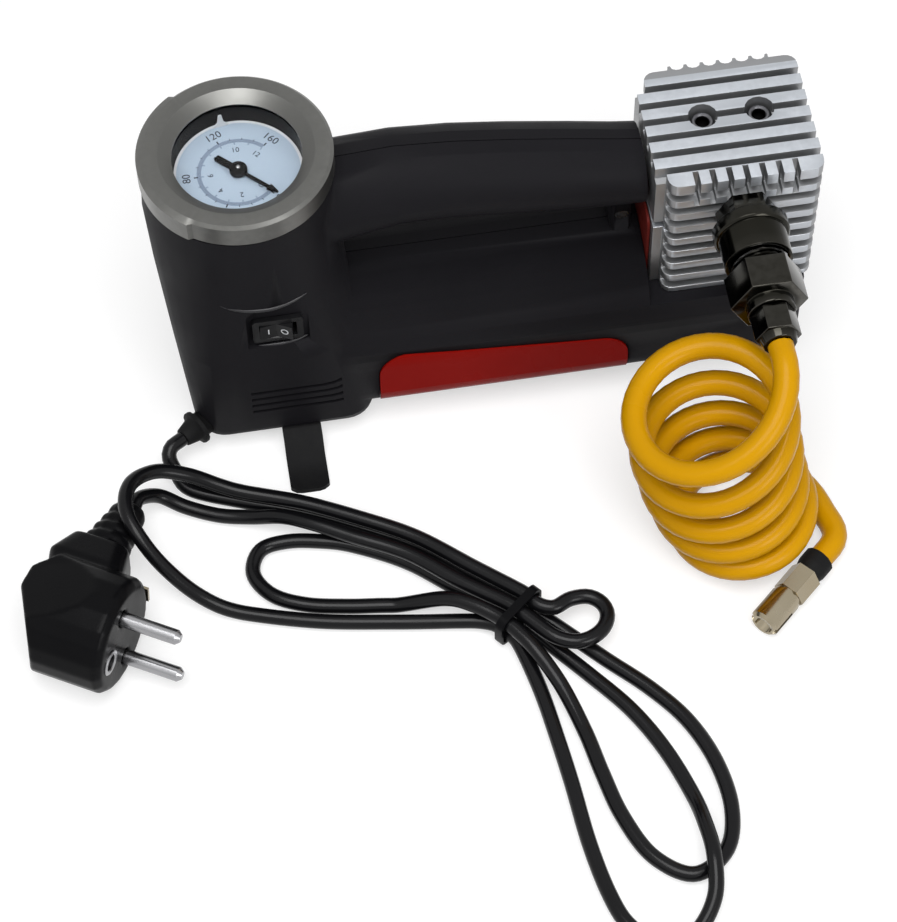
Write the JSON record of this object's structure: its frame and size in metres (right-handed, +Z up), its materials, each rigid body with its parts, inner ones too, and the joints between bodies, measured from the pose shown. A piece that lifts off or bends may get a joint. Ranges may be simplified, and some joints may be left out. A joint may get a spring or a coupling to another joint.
{
  "type": "portable tire inflator",
  "caption": "Carry-handle tire inflator: upright gauge column, motor barrel with red side panels, finned cylinder, coiled air hose with screw chuck, and a tied mains cord with plug.",
  "frame": {"origin": "centre of the body's box, cord and hose left out, on the floor plane", "axes": "+Z up; +X along the motor from the gauge column to the finned cylinder; the switch, outlet and hose face -Y"},
  "size_m": [0.259, 0.2757, 0.1139],
  "materials": {
    "black_plastic": "fine satin grain",
    "red_plastic": "gloss, translucent red",
    "black_paint": "satin black paint",
    "black_rubber": "matt rubber",
    "cord_rubber": "satin black rubber sheath",
    "red_gasket": "matt red fibre gasket",
    "white_dial": "printed white",
    "clear_lens": "clear",
    "satin_silver": "satin silver",
    "brass": "machined, nickel washed",
    "white_nylon": "natural nylon",
    "steel": "plain steel",
    "copper": "copper windings on a steel core",
    "circuit_green": "green board",
    "cast_aluminium": "as cast, machined faces",
    "gunmetal": "dark nickel plate",
    "yellow_hose": "glossy yellow polyurethane"
  },
  "bodies": {
    "base": {"housing_front": "black_plastic", "housing_rear": "black_plastic", "side_panel_front": "red_plastic", "side_panel_rear": "red_plastic", "stand_strip": "black_paint", "rubber_foot_front": "black_rubber", "rubber_foot_rear": "black_rubber", "cord_gland": "black_rubber", "block_gasket": "red_gasket", "switch_frame": "black_plastic", "gauge_case": "black_paint", "gauge_dial": "white_dial", "gauge_lens": "clear_lens", "gauge_bezel": "satin_silver", "bourdon_tube": "brass", "gauge_stem": "brass", "air_line": "white_nylon", "motor_can": "steel", "motor_end_cap": "black_plastic", "bearing_front": "brass", "bearing_rear": "brass", "power_board": "circuit_green", "gear_plate": "cast_aluminium", "gear_axle": "steel", "cylinder_block": "cast_aluminium", "head_gasket": "black_rubber", "valve_plate": "steel", "cylinder_head": "cast_aluminium", "head_screw_left": "steel", "head_screw_right": "steel", "outlet_spring": "steel", "outlet_nipple": "gunmetal", "coupler_body": "gunmetal", "coupler_spring": "steel", "hose_nut": "gunmetal", "hose_coil": "yellow_hose", "hose_ferrule": "black_rubber", "tire_chuck": "brass", "power_cord": "cord_rubber", "cord_tie": "black_plastic", "plug_body": "black_plastic", "plug_pin_upper": "steel", "plug_pin_lower": "steel", "plug_earth_clip": "brass", "post_screw": "steel", "handle_screw_left": "steel", "handle_screw_right": "steel"},
    "rotor": {"armature": "copper", "motor_shaft": "steel", "cooling_fan": "white_nylon", "pinion": "brass"},
    "crank": {"drive_gear": "white_nylon"},
    "piston": {"piston_rod": "cast_aluminium", "piston_cup": "black_rubber", "cup_retainer": "steel", "big_end_bearing": "steel"},
    "needle": {"gauge_needle": "black_paint"},
    "rocker": {"switch_rocker": "black_plastic"},
    "sleeve": {"coupler_sleeve": "gunmetal"},
    "valve_disc": {"outlet_valve": "steel"}
  },
  "joints": [
    {"name": "rotor_spin", "type": "hinge", "parent": "base", "child": "rotor", "pos_m": [0, 0, 0.0352], "axis": [1, 0, 0], "continuous": true},
    {"name": "crank_spin", "type": "hinge", "parent": "base", "child": "crank", "pos_m": [0, -0.006, 0.02311], "axis": [1, 0, 0], "continuous": true},
    {"name": "piston_slide", "type": "slide", "parent": "base", "child": "piston", "axis": [0, 0, 1], "range_m": [-0.011, 0]},
    {"name": "needle_turn", "type": "hinge", "parent": "base", "child": "needle", "pos_m": [-0.0726, 0, 0.1015], "axis": [0, 0, -1], "range_deg": [0, 270], "stiffness_Nm_per_rad": 0.0002},
    {"name": "rocker_tilt", "type": "hinge", "parent": "base", "child": "rocker", "pos_m": [-0.067, -0.02683, 0.061], "axis": [0, 0, 1], "range_deg": [0, 18]},
    {"name": "sleeve_pull", "type": "slide", "parent": "base", "child": "sleeve", "axis": [0, -1, 0], "range_m": [0, 0.004], "stiffness_N_per_m": 600, "deforming": ["coupler_spring"]},
    {"name": "outlet_valve_lift", "type": "slide", "parent": "base", "child": "valve_disc", "axis": [0, 0, 1], "range_m": [0, 0.001], "stiffness_N_per_m": 300, "deforming": ["outlet_spring"]}
  ],
  "couplings": [
    {"joint": "crank_spin", "follows": "rotor_spin", "ratio": -0.25}
  ]
}
